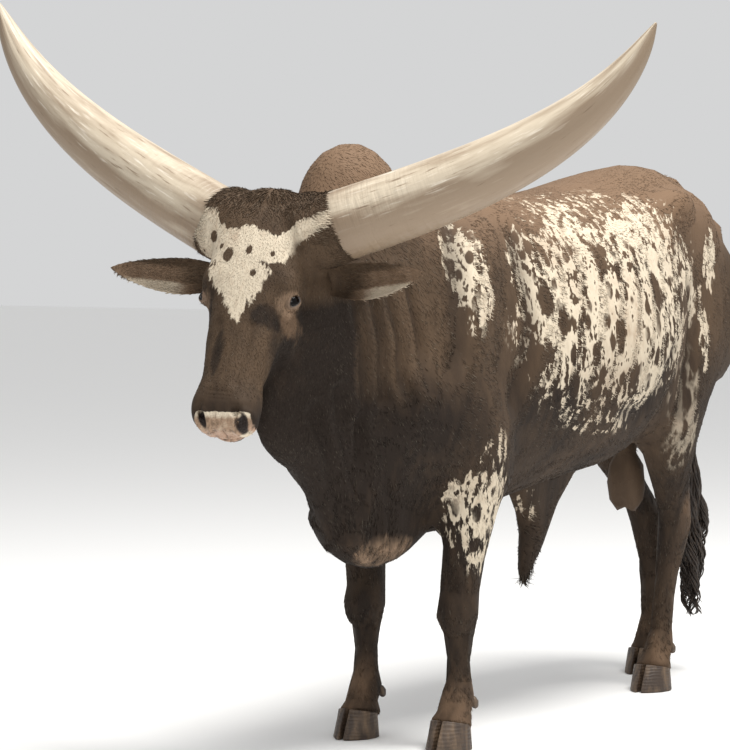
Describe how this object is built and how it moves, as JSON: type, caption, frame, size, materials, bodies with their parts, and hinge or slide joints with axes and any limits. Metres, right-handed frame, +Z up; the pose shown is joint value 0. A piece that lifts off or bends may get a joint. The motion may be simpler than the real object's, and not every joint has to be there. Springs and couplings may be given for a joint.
{
  "type": "ankole watusi cattle",
  "caption": "Life-size standing bull with very long thick upswept horns, a shoulder hump, a deep dewlap and a dark coat with roan patches.",
  "frame": {"origin": "on the floor, under the middle of the outer box", "axes": "+Z up; the bull faces -Y, so +Y runs from its head to its tail; +X is its left side"},
  "size_m": [1.7172, 2.3564, 1.8496],
  "materials": {
    "hide": "short flat brown hair, darkest on chest and legs, with cream roan patches and spots",
    "bare_skin": "bare wrinkled skin, soft satin",
    "horn": "cream keratin, streaked along its length, satin",
    "hoof": "dark keratin with growth rings, dull",
    "eye": "wet dark eye, high gloss",
    "switch_hair": "long dark wavy hair, low sheen"
  },
  "bodies": {
    "root": {"claw_fore_left_inner": "hoof", "claw_fore_left_outer": "hoof", "claw_fore_right_inner": "hoof", "claw_fore_right_outer": "hoof", "claw_hind_left_inner": "hoof", "claw_hind_left_outer": "hoof", "claw_hind_right_inner": "hoof", "claw_hind_right_outer": "hoof", "dewclaw_fore_left_inner": "hoof", "dewclaw_fore_left_outer": "hoof", "dewclaw_fore_right_inner": "hoof", "dewclaw_fore_right_outer": "hoof", "dewclaw_hind_left_inner": "hoof", "dewclaw_hind_left_outer": "hoof", "dewclaw_hind_right_inner": "hoof", "dewclaw_hind_right_outer": "hoof", "dewlap": "hide", "ear_left": "hide", "ear_right": "hide", "eye_left": "eye", "eye_right": "eye", "foreleg_lower_left": "hide", "foreleg_lower_right": "hide", "foreleg_upper_left": "hide", "foreleg_upper_right": "hide", "head": "hide", "hindleg_lower_left": "hide", "hindleg_lower_right": "hide", "hindleg_upper_left": "hide", "hindleg_upper_right": "hide", "horn_left": "horn", "horn_right": "horn", "hump": "hide", "neck": "hide", "scrotum": "bare_skin", "sheath": "hide", "tail": "hide", "tail_switch": "switch_hair", "torso": "hide"}
  },
  "joints": []
}
